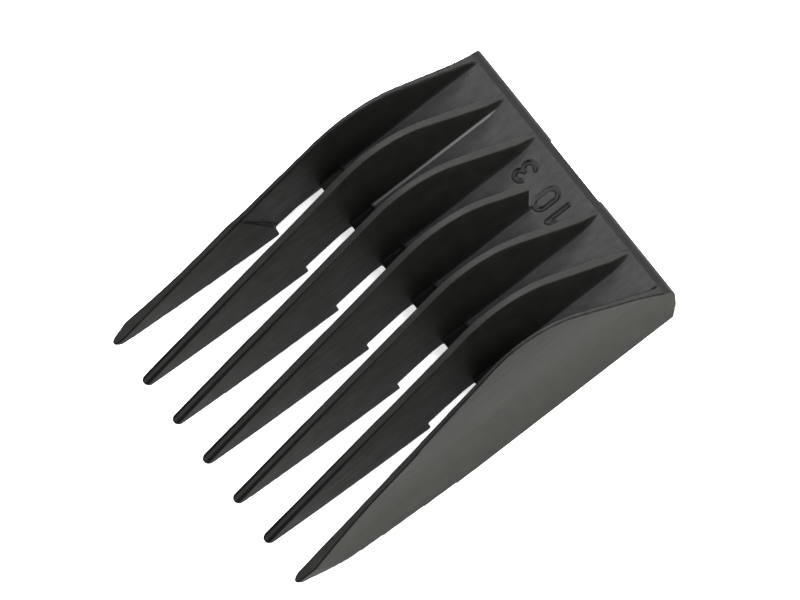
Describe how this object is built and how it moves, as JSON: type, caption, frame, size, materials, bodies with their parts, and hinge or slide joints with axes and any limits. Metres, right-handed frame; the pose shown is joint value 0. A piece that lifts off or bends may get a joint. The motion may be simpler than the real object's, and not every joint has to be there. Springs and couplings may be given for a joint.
{
  "type": "clipper guard comb",
  "caption": "Black moulded guard comb for a hair clipper, with long crested teeth on a flat deck and side walls, and a sprung sliding steel catch under the deck that holds the blade.",
  "frame": {"origin": "on the plane the comb rests on, under the middle of its outline", "axes": "+X across the teeth, to the right when the tips point towards the viewer, +Y from the tooth tips to the rear edge, +Z from the blade pocket to the crests of the teeth"},
  "size_m": [0.0528, 0.0688, 0.0172],
  "materials": {
    "nylon": "fine-grained satin black moulding",
    "plate_steel": "stamped and tumbled",
    "spring_steel": "drawn wire"
  },
  "bodies": {
    "comb": {"comb_body": "nylon", "return_spring": "spring_steel", "spring_pin": "spring_steel"},
    "catch": {"sliding_catch": "plate_steel"}
  },
  "joints": [
    {"name": "catch_slide", "type": "slide", "parent": "comb", "child": "catch", "axis": [0, 1, 0], "range_m": [0, 0.0035], "stiffness_N_per_m": 600, "springref_m": -0.0025, "deforming": ["return_spring"]}
  ]
}
